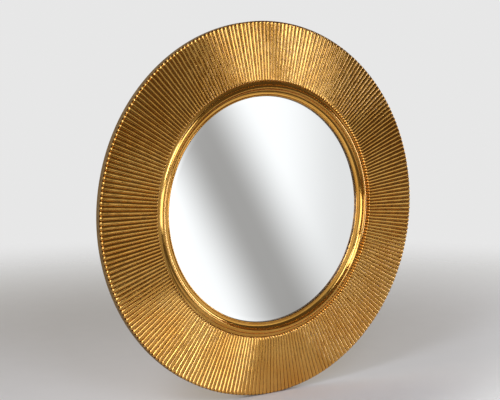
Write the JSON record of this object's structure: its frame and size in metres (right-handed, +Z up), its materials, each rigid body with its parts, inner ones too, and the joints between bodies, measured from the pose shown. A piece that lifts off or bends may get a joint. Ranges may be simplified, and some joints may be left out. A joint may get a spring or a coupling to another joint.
{
  "type": "round wall mirror",
  "caption": "Round wall mirror in a wide gilded frame carved with radial reeds, with a turned sight moulding, bevelled glass and a panelled back.",
  "frame": {"origin": "on the axis of the round frame, in the plane of the wall that the bumpers rest on", "axes": "+Z up, +X to the viewer's right, +Y into the wall, so the mirror faces -Y"},
  "size_m": [1.1, 0.04, 1.1],
  "materials": {
    "gilded_wood": "carved wood under burnished gold leaf, toned darker in the grooves",
    "mirror": "silvered plate glass with a wide shallow bevel",
    "beech": "pressed beech",
    "gasket": "soft black glazing wedge",
    "foam": "closed-cell foam sheet",
    "fibreboard": "bare fibreboard",
    "cork": "granulated cork",
    "plywood": "birch plywood, sanded and sealed",
    "screw_steel": "yellow zinc plate",
    "button_steel": "stamped and zinc plated",
    "hanger_steel": "nickel plated",
    "rubber": "moulded rubber"
  },
  "bodies": {
    "frame": {"reed_segment_01": "gilded_wood", "reed_segment_02": "gilded_wood", "reed_segment_03": "gilded_wood", "reed_segment_04": "gilded_wood", "reed_segment_05": "gilded_wood", "reed_segment_06": "gilded_wood", "reed_segment_07": "gilded_wood", "reed_segment_08": "gilded_wood", "reed_segment_09": "gilded_wood", "reed_segment_10": "gilded_wood", "reed_segment_11": "gilded_wood", "reed_segment_12": "gilded_wood", "reed_segment_13": "gilded_wood", "reed_segment_14": "gilded_wood", "reed_segment_15": "gilded_wood", "reed_segment_16": "gilded_wood", "sight_moulding": "gilded_wood", "mirror_glass": "mirror", "segment_biscuits": "beech", "lip_gasket": "gasket", "foam_sheet": "foam", "back_panel": "fibreboard", "edge_spacers": "cork", "plywood_ring": "plywood", "frame_screws": "screw_steel", "turn_button_screws": "screw_steel", "hanger_screws": "screw_steel", "hanger_strap_left": "hanger_steel", "hanger_strap_right": "hanger_steel", "wall_bumper_1": "rubber", "wall_bumper_2": "rubber", "wall_bumper_3": "rubber", "wall_bumper_4": "rubber"},
    "button_1": {"turn_button_1": "button_steel"},
    "button_2": {"turn_button_2": "button_steel"},
    "button_3": {"turn_button_3": "button_steel"},
    "button_4": {"turn_button_4": "button_steel"},
    "button_5": {"turn_button_5": "button_steel"},
    "button_6": {"turn_button_6": "button_steel"},
    "button_7": {"turn_button_7": "button_steel"},
    "button_8": {"turn_button_8": "button_steel"},
    "ring_left": {"hanger_ring_left": "hanger_steel"},
    "ring_right": {"hanger_ring_right": "hanger_steel"}
  },
  "joints": [
    {"name": "button_1_turn", "type": "hinge", "parent": "frame", "child": "button_1", "pos_m": [0.36, -0.00625, 0], "axis": [0, 1, 0], "continuous": true},
    {"name": "button_2_turn", "type": "hinge", "parent": "frame", "child": "button_2", "pos_m": [0.25456, -0.00625, 0.25456], "axis": [0, 1, 0], "continuous": true},
    {"name": "button_3_turn", "type": "hinge", "parent": "frame", "child": "button_3", "pos_m": [0, -0.00625, 0.36], "axis": [0, 1, 0], "continuous": true},
    {"name": "button_4_turn", "type": "hinge", "parent": "frame", "child": "button_4", "pos_m": [-0.25456, -0.00625, 0.25456], "axis": [0, 1, 0], "continuous": true},
    {"name": "button_5_turn", "type": "hinge", "parent": "frame", "child": "button_5", "pos_m": [-0.36, -0.00625, 0], "axis": [0, 1, 0], "continuous": true},
    {"name": "button_6_turn", "type": "hinge", "parent": "frame", "child": "button_6", "pos_m": [-0.25456, -0.00625, -0.25456], "axis": [0, 1, 0], "continuous": true},
    {"name": "button_7_turn", "type": "hinge", "parent": "frame", "child": "button_7", "pos_m": [0, -0.00625, -0.36], "axis": [0, 1, 0], "continuous": true},
    {"name": "button_8_turn", "type": "hinge", "parent": "frame", "child": "button_8", "pos_m": [0.25456, -0.00625, -0.25456], "axis": [0, 1, 0], "continuous": true},
    {"name": "ring_left_swing", "type": "hinge", "parent": "frame", "child": "ring_left", "pos_m": [-0.28136, -0.0035, 0.33531], "axis": [-1, 0, 0], "range_deg": [0, 180]},
    {"name": "ring_right_swing", "type": "hinge", "parent": "frame", "child": "ring_right", "pos_m": [0.28136, -0.0035, 0.33531], "axis": [-1, 0, 0], "range_deg": [0, 180]}
  ]
}
